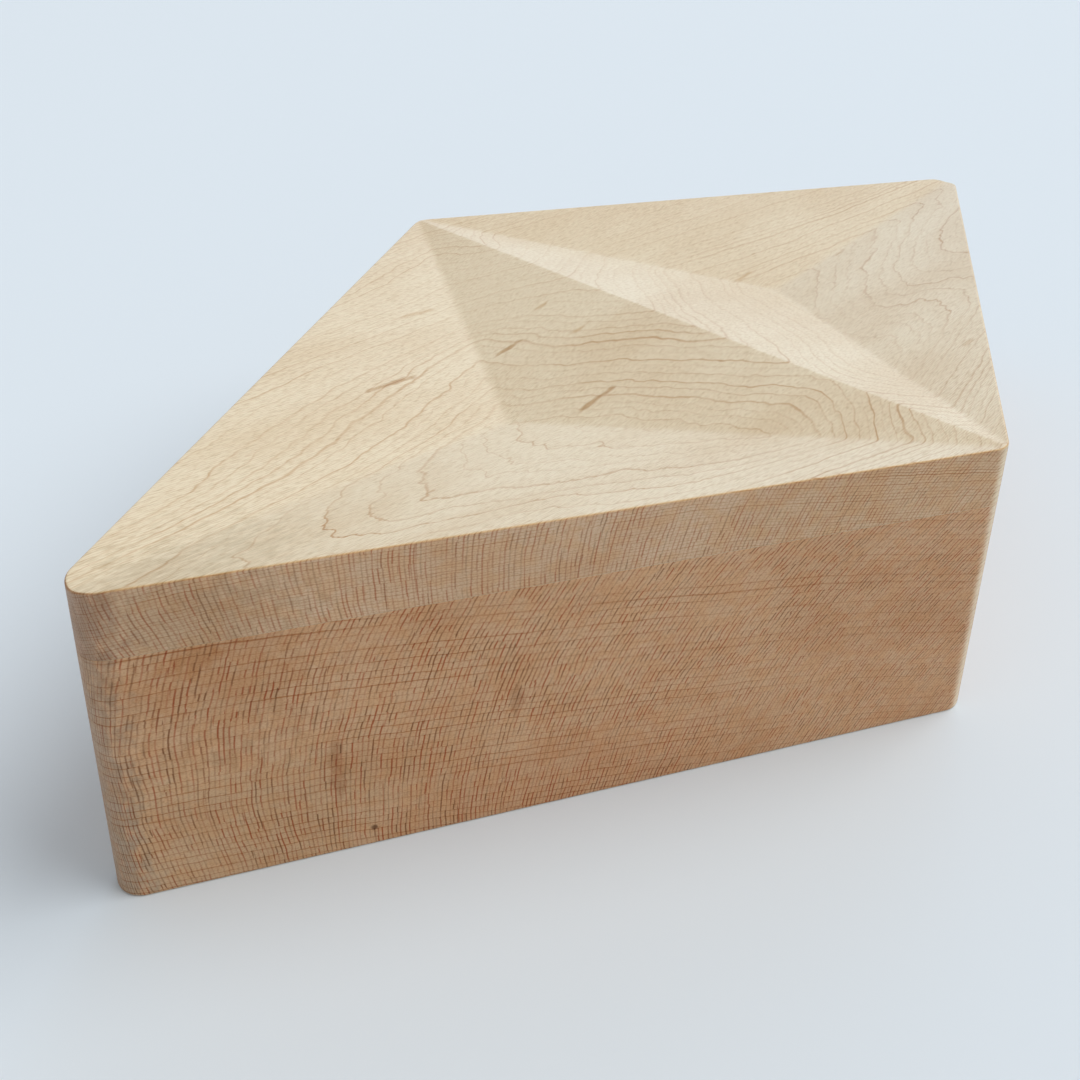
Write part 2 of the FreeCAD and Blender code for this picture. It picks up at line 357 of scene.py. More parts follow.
def groove_loop(steps=40, cap_steps=12):
    """The groove's plan: a band about an arc round the pivot, with half-round ends, anticlockwise."""
    run = STOP[0] - PIVOT[0]
    half_width = radius_of("stop_pin") + GROOVE_GAP
    sweep = np.linspace(-SWING, 0, steps)
    cap = np.linspace(0, math.pi, cap_steps)[1:-1]
    outer = np.stack([np.cos(sweep), np.sin(sweep)], axis=1) * (run + half_width)
    inner = np.stack([np.cos(sweep[::-1]), np.sin(sweep[::-1])], axis=1) * (run - half_width)
    last = np.array([run, 0]) + half_width * np.stack([np.cos(cap), np.sin(cap)], axis=1)
    first_turn = cap - SWING + math.pi
    first_end = run * np.array([math.cos(SWING), -math.sin(SWING)])
    first = first_end + half_width * np.stack([np.cos(first_turn), np.sin(first_turn)], axis=1)
    return PIVOT + np.vstack([outer, last, inner, first])


def lid_panel():
    insert_bore = circle(PIVOT, radius_of("pivot_insert") + FIT)
    groove = groove_loop()
    bores = [(insert_bore, levels("pivot_insert")[1])]
    bores.append((groove, levels("stop_pin")[1] + GROOVE_END_GAP))
    for place in CATCHES:
        bores.append((circle(place, CATCH_RADIUS + FIT), levels("catch_magnets_lid")[1]))
    surfaces = [half_top(-1), half_top(1), lid_sides()]
    for loop, end in bores:
        surfaces += blind_bore(loop, SEAM, end)
    cup_loops = []
    for name, place in LOCKS.items():
        wide = circle(place, radius_of("strike_cup_" + name) + FIT)
        narrow = circle(place, radius_of("lift_magnet_" + name) + FIT)
        shoulder, end = levels("lift_magnet_" + name)
        cup_loops.append(wide)
        surfaces.append(sheet([at_height(wide, SEAM), at_height(wide, shoulder),
                               at_height(narrow, shoulder), at_height(narrow, end)]))
        surfaces.append(flat_face(narrow, [], end))
    holes = [loop for loop, end in bores] + cup_loops
    surfaces.append(flat_face(outline - outward * SEAM_EASE, holes, SEAM))
    return closed_piece("lid_carved", surfaces)


lid = lid_panel()
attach(lid, "lid")
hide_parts("lid_panel")

# %% [markdown]
# ## The block
# The block is hollowed right through, once under each triangle, and a floor is let into a rabbet underneath.
# It could be one solid with cuts, but as a skin each hollow's rim is eased by the same profile as the outside.

# %% The block's outside, hollows and rabbet
FOOT_EASE = 0.45 * MM
HOLLOW_EASE = 0.4 * MM
WALL = 9 * MM
HALF_WEB = 8 * MM
HOLLOW_RADIUS = 6 * MM
TIP_RADIUS = 24 * MM
FLOOR_LIP = 5 * MM
FLOOR_RADIUS = 3 * MM
FLANGE_THICKNESS = 1 * MM
WASHER_ROOM = 0.5 * MM
BUSH_RADIUS = 4.5 * MM


def eased_wall(points, normals, top, top_ease, bottom, bottom_ease):
    """An upright wall along an outline, with a quarter round at its top and, where wanted, at its foot."""
    turn = np.linspace(math.pi / 2, 0, EASE_STEPS)
    loops = []
    for angle in turn:
        moved = points + normals * top_ease * (math.cos(angle) - 1)
        loops.append(at_height(moved, top - top_ease * (1 - math.sin(angle))))
    loops.append(at_height(points, top - top_ease - SUPPORT))
    loops.append(at_height(points, bottom + bottom_ease + SUPPORT))
    if bottom_ease == 0:
        loops.append(at_height(points, bottom))
        return sheet(loops)
    for angle in turn[::-1]:
        moved = points + normals * bottom_ease * (math.cos(angle) - 1)
        loops.append(at_height(moved, bottom + bottom_ease * (1 - math.sin(angle))))
    return sheet(loops)


def hollow_outline(corner):
    """A triangle of the plan, drawn in by the wall on two sides and by half the web on the third."""
    triangle = [corner, FRONT_SIDE, BACK_SIDE] if corner[0] < 0 else [corner, BACK_SIDE, FRONT_SIDE]
    corners = inset_corners(triangle, [WALL, HALF_WEB, WALL])
    return rounded_outline(corners, [TIP_RADIUS, HOLLOW_RADIUS, HOLLOW_RADIUS], side_points=40)


def body_block():
    hollows = [hollow_outline(PIVOT_END), hollow_outline(FAR_END)]
    rabbet = rounded_outline(inset_corners(RHOMBUS, [FLOOR_LIP] * 4), [FLOOR_RADIUS] * 4)[0]
    surfaces = [eased_wall(outline, outward, SEAM, SEAM_EASE, 0, FOOT_EASE)]
    top_holes, ceiling_holes = [], []
    for points, normals in hollows:
        surfaces.append(eased_wall(points, -normals, SEAM, HOLLOW_EASE, FLOOR_TOP, 0))
        top_holes.append(points + normals * HOLLOW_EASE)
        ceiling_holes.append(points)

    flange = circle(PIVOT, radius_of("pivot_bush") + FIT)
    sleeve = circle(PIVOT, BUSH_RADIUS + FIT)
    pocket = circle(PIVOT, radius_of("pivot_washer") + WASHER_ROOM)
    bush_foot = levels("pivot_bush")[0]
    flange_foot = SEAM - FLANGE_THICKNESS
    steps = [(flange, SEAM), (flange, flange_foot), (sleeve, flange_foot), (sleeve, bush_foot),
             (pocket, bush_foot), (pocket, FLOOR_TOP)]
    surfaces.append(sheet([at_height(loop, height) for loop, height in steps]))
    top_holes.append(flange)
    ceiling_holes.append(pocket)

    blind = [(circle(STOP, radius_of("stop_pin") + FIT), levels("stop_pin")[0])]
    for name, place in LOCKS.items():
        node = "lock_sleeve_" + name
        blind.append((circle(place, radius_of(node) + FIT), levels(node)[0]))
    for place in CATCHES:
        blind.append((circle(place, CATCH_RADIUS + FIT), levels("catch_magnets_block")[0]))
    for loop, end in blind:
        surfaces += blind_bore(loop, SEAM, end)
        top_holes.append(loop)

    surfaces.append(flat_face(outline - outward * SEAM_EASE, top_holes, SEAM))
    surfaces.append(flat_face(rabbet, ceiling_holes, FLOOR_TOP))
    surfaces.append(sheet([at_height(rabbet, FLOOR_TOP), at_height(rabbet, 0)]))
    surfaces.append(flat_face(outline - outward * FOOT_EASE, [rabbet], 0))
    return closed_piece("block_hollowed", surfaces)


block = body_block()
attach(block, "case")
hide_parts("body_block")

# %% [markdown]
# ## Finishes
# A finish is a chain of small steps, so a helper adds one node at a time and hands on its output. Positions
# are read in the piece's own coordinates and turned into millimetres, so a size in a finish is a real size.

# %% A helper for chains of nodes
class Finish:
    """A material whose nodes are added one short step at a time."""

    def __init__(self, name):
        self.material = bpy.data.materials.new(name)
        self.material.use_nodes = True
        self.tree = self.material.node_tree
        self.shader = self.tree.nodes["Principled BSDF"]
        place = self.step("TexCoord")
        self.normal = place.outputs["Normal"]
        self.position = self.vector("SCALE", place.outputs["Object"], scale=1 / MM)

    def feed(self, socket, value):
        if isinstance(value, bpy.types.NodeSocket):
            self.tree.links.new(value, socket)
        else:
            socket.default_value = value

    def step(self, kind, feeds=(), **settings):
        """A node of one kind, with its settings, and with its sockets fed from values or other outputs."""
        node = self.tree.nodes.new("ShaderNode" + kind)
        for setting, value in settings.items():
            setattr(node, setting, value)
        for socket, value in dict(feeds).items():
            self.feed(node.inputs[socket], value)
        return node

    def math(self, operation, *values):
        node = self.step("Math", operation=operation)
        for socket, value in zip(node.inputs, values):
            self.feed(socket, value)
        return node.outputs[0]

    def vector(self, operation, *values, scale=None):
        node = self.step("VectorMath", operation=operation)
        for socket, value in zip(node.inputs, values):
            self.feed(socket, value)
        if scale is not None:
            self.feed(node.inputs["Scale"], scale)
        return node.outputs[0]

    def parts(self, vector):
        return self.step("SeparateXYZ", {0: vector}).outputs

    def join(self, x=0.0, y=0.0, z=0.0):
        return self.step("CombineXYZ", {0: x, 1: y, 2: z}).outputs[0]

    def noise(self, size, shift=0.0, detail=2.0, position=None):
        """Soft noise whose lumps have the given size along x, y and z, in millimetres."""
        moved = self.vector("ADD", position or self.position, (shift, shift * 1.7, shift * 0.6))
        shrunk = self.vector("DIVIDE", moved, size)
        return self.step("TexNoise", {"Vector": shrunk, "Scale": 1.0, "Detail": detail})

    def swing(self, size, amount, shift=0.0, detail=2.0):
        """Noise turned into a value that swings about zero by half the amount each way."""
        value = self.noise(size, shift, detail).outputs["Fac"]
        return self.math("MULTIPLY", self.math("SUBTRACT", value, 0.5), amount)

    def rise(self, value, low, high):
        """A smooth step from 0 at low to 1 at high."""
        feeds = {"Value": value, "From Min": low, "From Max": high}
        return self.step("MapRange", feeds, interpolation_type="SMOOTHSTEP").outputs[0]

    def chance(self, *values):
        """Random values that stay the same for the same whole numbers."""
        return self.step("TexWhiteNoise", {"Vector": self.join(*values)}, noise_dimensions="3D")

    def mix(self, share, first, second, blend="MIX"):
        node = self.step("Mix", data_type="RGBA", blend_type=blend)
        self.feed(node.inputs["Factor"], share)
        self.feed(node.inputs[6], first)
        self.feed(node.inputs[7], second)
        return node.outputs[2]

    def stain(self, colour, share, tint):
        """The colour multiplied by a tint, by some share."""
        return self.mix(share, colour, (*tint, 1.0), blend="MULTIPLY")


# %% [markdown]
# ### Maple
# Wood is a solid pattern: growth rings wrapped round the heart of the trunk, and rays that run straight out from
# it. A flat grain picture would never meet itself at the edges of this box. So the finish works out, for each
# point, how high it lies above one year's growth surface, and every face then shows its own true section:
# flame shapes on the shallow slopes of the lid, and a fine grid of rings and rays on the sides.

# %% The growth surface of a board
FULL_TURN = 2 * math.pi


def above_growth(finish, board, seed):
    """Height of each point above one growth surface, in millimetres.

    The surface is an arch across the board, (y - crest)^2 / (2 * radius), that drops more steeply past a line near
    the front, and is bowed along the board by x^2 / (2 * bow). It has long ripples,
    height * cos(2 pi * (y + lean * x - crest) / apart), and small uneven swellings.
    """
    x, y, z = finish.parts(finish.position)
    aside = finish.math("SUBTRACT", y, board["crest"])
    arch = finish.math("DIVIDE", finish.math("MULTIPLY", aside, aside), 2.0 * board["radius"])
    bow = finish.math("DIVIDE", finish.math("MULTIPLY", x, x), 2.0 * board["bow"])
    level = finish.math("SUBTRACT", finish.math("ADD", z, arch), bow)
    past = finish.math("MAXIMUM", finish.math("SUBTRACT", board["drop_from"], y), 0.0)
    drop = finish.math("DIVIDE", finish.math("MULTIPLY", past, past), 2.0 * board["drop_radius"])
    level = finish.math("ADD", level, drop)
    for ripple in board["ripples"]:
        across = finish.math("MULTIPLY_ADD", x, ripple["lean"], finish.math("SUBTRACT", y, ripple["crest"]))
        wave = finish.math("COSINE", finish.math("MULTIPLY", across, FULL_TURN / ripple["apart"]))
        level = finish.math("MULTIPLY_ADD", wave, -ripple["height"], level)
    level = finish.math("ADD", level, finish.swing((55, 9, 25), board["swell"], seed + 11))
    level = finish.math("ADD", level, finish.swing((9, 7, 9), board["waver"], seed + 17))
    return finish.math("ADD", level, finish.swing((5, 2.2, 2.2), board["flutter"], seed + 23))


# %% How steeply a face cuts through the years
SLOPE_STEP = 0.4


def slope_along(finish, level, board, seed):
    """How fast the level changes along the face, in millimetres for each millimetre.

    It is the length of (change along u, change along v) over a short step, for u and v square to the normal.
    """
    here = finish.position
    first = finish.vector("CROSS_PRODUCT", finish.normal, (1.0, 0.0, 0.0))
    second = finish.vector("CROSS_PRODUCT", finish.normal, first)
    squares = []
    for direction in (first, second):
        finish.position = finish.vector("ADD", here, finish.vector("SCALE", direction, scale=SLOPE_STEP))
        change = finish.math("SUBTRACT", above_growth(finish, board, seed), level)
        squares.append(finish.math("MULTIPLY", change, change))
    finish.position = here
    return finish.math("DIVIDE", finish.math("SQRT", finish.math("ADD", *squares)), SLOPE_STEP)


# %% Growth lines
FULL_SLOPE = 0.22
NARROWEST = 0.3
FINE_LINE_GAIN = 0.9
FAINTEST_LINE = 0.12
FAINTEST_END_LINE = 0.5
PATCH_UNEVENNESS = 0.25


def growth_lines(finish, level, board, end_grain, seed):
    """A fine dark line at the end of each year, with some years wider and some lines stronger than others."""
    years = finish.math("DIVIDE", level, board["ring"])
    stretch = finish.step("TexNoise", {"W": finish.math("MULTIPLY_ADD", years, 0.5, seed), "Scale": 1.0},
                          noise_dimensions="1D")
    years = finish.math("ADD", years, stretch.outputs["Fac"])
    season = finish.math("FRACT", years)
    year = finish.math("FLOOR", years)
    vigour = finish.chance(year, seed, 0.5).outputs["Value"]
    slope = finish.math("DIVIDE", slope_along(finish, level, board, seed), FULL_SLOPE)
    narrowing = finish.math("MINIMUM", finish.math("MAXIMUM", slope, NARROWEST), 1.0)
    late = finish.math("MULTIPLY", narrowing, board["line"] / board["ring"])
    before = finish.math("DIVIDE", finish.math("SUBTRACT", 1.0, season), late)
    line = finish.math("MULTIPLY", finish.rise(before, 1.0, 0.5), finish.rise(before, 0.0, 0.33))
    least = finish.math("MULTIPLY_ADD", end_grain, FAINTEST_END_LINE - FAINTEST_LINE, FAINTEST_LINE)
    strength = finish.math("MULTIPLY_ADD", finish.math("POWER", vigour, board["unlike"]), board["bold"], least)
    gain = finish.math("MULTIPLY_ADD", narrowing, -FINE_LINE_GAIN, 1 + FINE_LINE_GAIN)
    strength = finish.math("MULTIPLY", strength, gain)
    fade = finish.rise(finish.noise((40, 12, 12), seed + 61, 1.0).outputs["Fac"], 0.28, 0.62)
    strength = finish.math("MULTIPLY", strength, finish.math("MULTIPLY_ADD", fade, 0.65, 0.35))
    glow = finish.math("MULTIPLY", finish.rise(season, 0.25, 1.0), vigour)
    for patch in board["patches"]:
        inside = mark(finish, patch["place"], patch["size"], seed, PATCH_UNEVENNESS)
        kept = finish.math("MULTIPLY_ADD", inside, patch["gain"], 1.0)
        strength = finish.math("MULTIPLY", strength, kept)
    return finish.math("MULTIPLY", line, strength), glow, years


# %% [markdown]
# Rays are thin upright sheets of cells, a millimetre or two long along the grain. Cut across, as on the sides,
# they show as fine reddish lines square to the rings. Cut lengthwise, as on the lid, they are faint short dashes.

# %% Rays
RAY_GAP = 0.40
RAY_LENGTH = 1.15
RAY_DEPTH = 10.0
BEADING = 0.6


def rays(finish, board, years, seed):
    """Strength of the ray at each point, and a chance value that tells one ray from another.

    With aside = y - ray_crest and up = z - ray_height, a ray leans by aside / ray_radius - up / ray_curl. So rays
    are counted along aside / (1 + up / ray_radius) + up^2 / (2 * ray_curl). Each is cut into lengths along x and
    depths along z, and is beaded: every few years it shifts a little and gets stronger or weaker.
    """
    x, y, z = finish.parts(finish.position)
    aside = finish.math("SUBTRACT", y, board["ray_crest"])
    up = finish.math("SUBTRACT", z, board["ray_height"])
    spread = finish.math("MULTIPLY_ADD", up, 1 / board["ray_radius"], 1.0)
    curl = finish.math("DIVIDE", finish.math("MULTIPLY", up, up), 2.0 * board["ray_curl"])
    across = finish.math("ADD", finish.math("DIVIDE", aside, spread), curl)
    drift = finish.swing((45, 16, 16), 3.0, seed + 37)
    tremble = finish.swing((8, 4, 3), 0.3, seed + 41)
    cells = finish.math("ADD", finish.math("DIVIDE", across, RAY_GAP), finish.math("ADD", drift, tremble))
    cell = finish.math("FLOOR", cells)
    offset = finish.chance(cell, seed, 7.5).outputs["Value"]
    lengths = finish.math("MULTIPLY_ADD", offset, 13.0, finish.math("DIVIDE", x, RAY_LENGTH))
    depths = finish.math("MULTIPLY_ADD", offset, 29.0, finish.math("DIVIDE", z, RAY_DEPTH))
    luck = finish.chance(cell, finish.math("FLOOR", lengths), finish.math("FLOOR", depths))
    lucky = finish.parts(luck.outputs["Color"])
    period = finish.math("FLOOR", finish.math("DIVIDE", years, board["bead_years"]))
    bead = finish.chance(cell, finish.math("FLOOR", lengths), period).outputs["Value"]
    centre = finish.math("MULTIPLY_ADD", bead, 0.2, finish.math("MULTIPLY_ADD", lucky[0], 0.32, 0.24))
    away = finish.math("ABSOLUTE", finish.math("SUBTRACT", finish.math("FRACT", cells), centre))
    patchy = finish.noise((25, 9, 12), seed + 71, 2.0).outputs["Fac"]
    strength = finish.math("MULTIPLY", finish.rise(lucky[1], -0.4, 0.6), finish.rise(patchy, 0.0, 0.6))
    beaded = finish.math("MULTIPLY_ADD", finish.rise(bead, 0.0, 0.8), BEADING, 1 - BEADING)
    strength = finish.math("MULTIPLY", strength, beaded)
    return finish.math("MULTIPLY", finish.rise(away, 0.26, 0.05), strength), lucky[2]


def mark(finish, place, size, seed, unevenness=1.6):
    """A soft mark, used for natural marks in the wood and for painted shade and sheen: 1 at its place, falling to 0
    at an uneven edge about the given size away.
    """
    apart = finish.vector("DIVIDE", finish.vector("SUBTRACT", finish.position, place), size)
    node = finish.step("VectorMath", {0: apart}, operation="LENGTH")
    rough = finish.math("ADD", node.outputs["Value"], finish.swing((3, 1.0, 2.5), unevenness, seed, 3.0))
    return finish.rise(rough, 1.0, 0.3)


# %% Maple as a solid
LINE_TINT = (0.66, 0.43, 0.23)
BROWN_RAY_TINT = (0.42, 0.29, 0.19)
RED_RAY_TINT = (0.61, 0.265, 0.145)
FLUSH_TINT = (1.0, 0.935, 0.85)


def maple(name, board, seed):
    finish = Finish(name)
    facing = finish.parts(finish.normal)
    level_share = finish.math("MULTIPLY", finish.math("ABSOLUTE", facing[2]), 0.25)
    end_grain = finish.rise(finish.math("SUBTRACT", finish.math("ABSOLUTE", facing[0]), level_share), -0.05, 0.45)
    line, glow, years = growth_lines(finish, above_growth(finish, board, seed), board, end_grain, seed)
    seen = finish.math("MULTIPLY_ADD", end_grain, board["cut_rays"], 0.26)
    cut_ray, ray_hue = rays(finish, board, years, seed)
    ray = finish.math("MULTIPLY", cut_ray, seen)
    fibre = finish.noise((2.2, 0.2, 0.2), seed + 51, 3.0).outputs["Fac"]
    cloud = finish.noise((50, 18, 22), seed + 83, 3.0).outputs["Fac"]

    colour = finish.mix(end_grain, (*board["face"], 1.0), (*board["end"], 1.0))
    colour = finish.stain(colour, finish.rise(cloud, 0.35, 0.72), (0.92, 0.87, 0.81))
    colour = finish.stain(colour, finish.math("MULTIPLY", glow, 0.5), (0.93, 0.88, 0.82))
    blotch = finish.rise(finish.noise((20, 8, 7), seed + 97, 2.0).outputs["Fac"], 0.45, 0.7)
    colour = finish.stain(colour, finish.math("MULTIPLY", blotch, end_grain), (0.96, 0.92, 0.88))
    flush = finish.rise(finish.noise((7, 2.2, 2.6), seed + 29, 2.0).outputs["Fac"], 0.4, 0.62)
    colour = finish.stain(colour, finish.math("MULTIPLY", flush, end_grain), FLUSH_TINT)
    colour = finish.stain(colour, line, LINE_TINT)
    ray_tint = finish.mix(finish.rise(ray_hue, *board["reddening"]), (*BROWN_RAY_TINT, 1.0), (*RED_RAY_TINT, 1.0))
    colour = finish.mix(ray, colour, ray_tint, blend="MULTIPLY")
    colour = finish.stain(colour, finish.rise(fibre, 0.40, 0.80), (0.78, 0.71, 0.61))
    # Painted edge light: the eased top edge, whose normal lies between up and sideways, takes the board's rim tint.
    # On the lid this orange stands in for the low light along that edge; elsewhere the tint is white and does
    # nothing.
    upward = facing[2]
    edge = finish.math("MULTIPLY", finish.rise(upward, 0.1, 0.5), finish.rise(upward, 0.97, 0.85))
    colour = finish.stain(colour, edge, board["rim"])
    # Marks are natural marks in the wood plus painted shade at the pivot end. End marks tint only the sides' end
    # grain, and some of them are painted shade and a painted grey reflection at the pivot end.
    for spot in board["marks"]:
        colour = finish.stain(colour, mark(finish, spot["place"], spot["size"], seed), spot["tint"])
    for spot in board["end_marks"]:
        share = finish.math("MULTIPLY", mark(finish, spot["place"], spot["size"], seed), end_grain)
        colour = finish.stain(colour, share, spot["tint"])
    finish.feed(finish.shader.inputs["Base Color"], colour)

    finish.feed(finish.shader.inputs["Roughness"], finish.math("MULTIPLY_ADD", fibre, 0.18, 0.36))
    finish.feed(finish.shader.inputs["Specular IOR Level"], finish.math("MULTIPLY_ADD", end_grain, -0.25, 0.5))
    relief = finish.math("SUBTRACT", fibre, finish.math("MULTIPLY", finish.math("ADD", line, ray), 0.5))
    bump = finish.step("Bump", {"Height": relief, "Strength": 0.25, "Distance": 0.06 * MM})
    finish.feed(finish.shader.inputs["Normal"], bump.outputs["Normal"])
    return finish.material


# %% [markdown]
# The three boards differ. The lid's rings are close, and their arch is broad and crests near the front. The
# block's rings are wide and drop towards the front corner. Both carry a few natural marks: dark mineral streaks
# in the lid, and an amber stain, two dark streaks and a pin knot in the block. Both also carry painted shade that
# makes the pivot end darker and greyer, with a painted grey reflection down its round corner, and the lid's eased
# top edge has a painted orange edge light. All sizes here are millimetres.

# %% The three boards
STREAK_TINT = (0.71, 0.57, 0.43)
FAINT_STREAK_TINT = (0.86, 0.77, 0.66)
AMBER_TINT = (0.88, 0.75, 0.60)
# Painted shade: the block darker and greyer at its pivot end, where the light falls off.
PIVOT_END_SHADE_TINT = (0.88, 0.83, 0.77)
# Painted shade: the lid darker and greyer at its pivot end, where the light falls off.
LID_END_SHADE_TINT = (0.83, 0.81, 0.765)
SHADE_TINT = (0.80, 0.72, 0.65)
KNOT_TINT = (0.35, 0.28, 0.22)


def streak(x, y, half_length, tint=STREAK_TINT):
    """A thin dark streak along the grain that goes deep into the lid."""
    return {"place": (x, y, 50), "size": (half_length, 0.8, 30), "tint": tint}


LID_BOARD = {
    "crest": -54, "radius": 365, "bow": 3100, "swell": 0.9, "waver": 0.55, "flutter": 0.34, "ring": 0.56, "line": 0.12, "unlike": 1.5, "bold": 0.46,
    "ripples": [{"height": 0.93, "apart": 47.4, "lean": 0.11, "crest": 15.6},
                {"height": 0.71, "apart": 40.3, "lean": 0.0, "crest": 32.7}],
    # The lid's rim tint is painted edge light on its eased top edge.
    "drop_from": -40, "drop_radius": 95, "ray_crest": -27.5, "ray_height": 51, "ray_radius": 133, "ray_curl": 120, "face": (0.824, 0.718, 0.526), "end": (0.672, 0.489, 0.334), "rim": (0.98, 0.87, 0.70),
    "end_marks": [{"place": (0, -76, 50), "size": (80, 60, 60), "tint": (0.99, 0.98, 0.93)},
                  # Painted shade and a painted grey reflection down the round pivot-end corner of the lid.
                  {"place": (-128, 0, 50), "size": (8.5, 10.5, 200), "tint": (0.73, 0.71, 0.75)}],
    "patches": [{"place": (22, 0, 50), "size": (32, 95, 60), "gain": -0.7},
                {"place": (60, 30, 50), "size": (70, 34, 60), "gain": -0.4},
                {"place": (-14, -44, 50), "size": (24, 46, 60), "gain": 0.4}],
    "bead_years": 5, "reddening": (0.0, 0.5), "cut_rays": 0.48,
    "marks": [streak(-29.8, -8.7, 7), streak(-26.7, 17.4, 5), streak(-54, 20.5, 8),
              streak(-13.6, 10.1, 4, FAINT_STREAK_TINT), streak(-11.3, 22.8, 3, FAINT_STREAK_TINT),
              streak(-32.6, 39.4, 7, FAINT_STREAK_TINT), streak(43, 8.6, 5, FAINT_STREAK_TINT),
              streak(70, -1, 4, FAINT_STREAK_TINT), streak(34.3, -51.3, 3, FAINT_STREAK_TINT),
              # Painted shade: the lid's pivot end darker and greyer.
              {"place": (-118, -8, 50), "size": (32, 18, 12), "tint": LID_END_SHADE_TINT}]}
BLOCK_BOARD = {
    "crest": -3, "radius": 180, "bow": 9000, "swell": 1.0, "waver": 0.3, "flutter": 0.3, "ring": 1.4, "line": 0.24, "unlike": 0.8, "bold": 0.6,
    "ripples": [{"height": 0.5, "apart": 55, "lean": 0.0, "crest": -10}],
    "drop_from": -80, "drop_radius": 95, "ray_crest": -7.5, "ray_height": 22, "ray_radius": 160, "ray_curl": 160, "face": (0.82, 0.70, 0.52), "end": (0.646, 0.419, 0.252), "rim": (1.0, 1.0, 1.0),
    "end_marks": [{"place": (-62, -40, 4), "size": (40, 24, 16), "tint": (0.95, 0.89, 0.85)},
                  # Painted shade and reflection: the sides greyer and less red low at the pivot end.
                  {"place": (-114, -11, 8), "size": (40, 24, 26), "tint": (0.94, 0.985, 1.0)},
                  # Painted shade and a painted grey reflection down the round pivot-end corner of the block.
                  {"place": (-128, 0, 25), "size": (6.8, 8.4, 200), "tint": (0.77, 0.86, 1.0)}],
    "patches": [{"place": (0, -76, 25), "size": (95, 60, 90), "gain": -0.55},
                {"place": (-62, -40, 43), "size": (85, 50, 6), "gain": -0.55}],
    "bead_years": 1, "reddening": (0.2, 0.65), "cut_rays": 0.74,
    # The first mark is painted shade at the pivot end. The rest are natural marks.
    "marks": [{"place": (-114, -10, 38), "size": (28, 16, 20), "tint": PIVOT_END_SHADE_TINT},
              {"place": (-115.4, -9.4, 42.5), "size": (7, 4, 3.4), "tint": AMBER_TINT},
              {"place": (-99.3, -18.7, 18), "size": (2.0, 1.1, 9), "tint": SHADE_TINT},
              {"place": (-74.5, -33, 24), "size": (2, 1.2, 4), "tint": SHADE_TINT},
              {"place": (-94.7, -21.3, 3.6), "size": (0.9, 0.5, 0.7), "tint": KNOT_TINT}]}
FLOOR_BOARD = {
    "crest": 15, "radius": 90, "bow": 2500, "swell": 1.2, "waver": 0.4, "flutter": 0.3, "ring": 1.9, "line": 0.3, "unlike": 1.0, "bold": 0.6,
    "ripples": [{"height": 0.8, "apart": 60, "lean": 0.12, "crest": 15}],
    "drop_from": -80, "drop_radius": 95, "ray_crest": 15, "ray_height": 3, "ray_radius": 120, "ray_curl": 400, "face": (0.82, 0.71, 0.54), "end": (0.72, 0.48, 0.30), "rim": (1.0, 1.0, 1.0), "marks": [], "end_marks": [],
    "patches": [], "bead_years": 1, "reddening": (0.2, 0.65), "cut_rays": 0.74}

LID_MAPLE = maple("lid_maple", LID_BOARD, seed=5.0)
BLOCK_MAPLE = maple("block_maple", BLOCK_BOARD, seed=42.0)
FLOOR_MAPLE = maple("floor_maple", FLOOR_BOARD, seed=91.0)
lid.data.materials.append(LID_MAPLE)
block.data.materials.append(BLOCK_MAPLE)
print("maple nodes:", len(LID_MAPLE.node_tree.nodes))

# %% [markdown]
# ### Metal
# The hidden fittings are turned brass, ground steel and nickel plate. Fine scratches in the roughness keep
# them from looking like mirrors.

# %% Brass, steel and nickel
def metal(name, colour, dull, polish):
    finish = Finish(name)
    scratches = finish.noise((0.12, 0.9, 0.9), 3.0, 4.0).outputs["Fac"]
    smudges = finish.noise((2.5, 2.5, 2.5), 9.0, 2.0).outputs["Fac"]
    finish.feed(finish.shader.inputs["Base Color"], finish.mix(smudges, (*colour, 1.0), (*dull, 1.0)))
    roughness = finish.math("MULTIPLY_ADD", scratches, 0.25, polish)
    finish.feed(finish.shader.inputs["Roughness"], roughness)
    finish.shader.inputs["Metallic"].default_value = 1.0
    bump = finish.step("Bump", {"Height": scratches, "Strength": 0.15, "Distance": 0.02 * MM})
    finish.feed(finish.shader.inputs["Normal"], bump.outputs["Normal"])
    return finish.material


BRASS = metal("turned_brass", (0.83, 0.62, 0.30), (0.70, 0.50, 0.24), 0.22)
STEEL = metal("ground_steel", (0.62, 0.62, 0.62), (0.52, 0.52, 0.53), 0.25)
NICKEL = metal("nickel_plate", (0.78, 0.76, 0.73), (0.70, 0.68, 0.66), 0.14)

# %% [markdown]
# ### Turned fittings
# Bushes, pins, cups and magnets all come off a lathe, so each is one outline spun round an upright axis. A plain
# cylinder from the menu would have knife edges. Real turned edges are broken, and the thin bright line along
# them is what makes metal look solid. Heights and outer radii are read from the model.

# %% Spinning an outline
TURN_POINTS = 64
EDGE_BREAK = 0.2 * MM
PIN_BREAK = 0.5 * MM
SHANK_RADIUS = 3.05 * MM
THREAD_RADIUS = 2.55 * MM
LOCK_BORE = 2.58 * MM
CUP_BORE = 2.8 * MM
CUP_WALL = 0.6 * MM
INSERT_RECESS = 0.05 * MM


def broken_edges(profile, size):
    """An outline with every corner that is off the axis replaced by two points, a short way along its sides."""
    profile = np.asarray(profile, float)
    ahead = np.roll(profile, -1, axis=0) - profile
    back = np.roll(profile, 1, axis=0) - profile
    ahead *= size / np.linalg.norm(ahead, axis=1)[:, None]
    back *= size / np.linalg.norm(back, axis=1)[:, None]
    off_axis = (profile[:, 0] > 0)[:, None]
    cut = np.stack([profile + back * off_axis, profile + ahead * off_axis], axis=1)
    return cut.reshape(-1, 2)


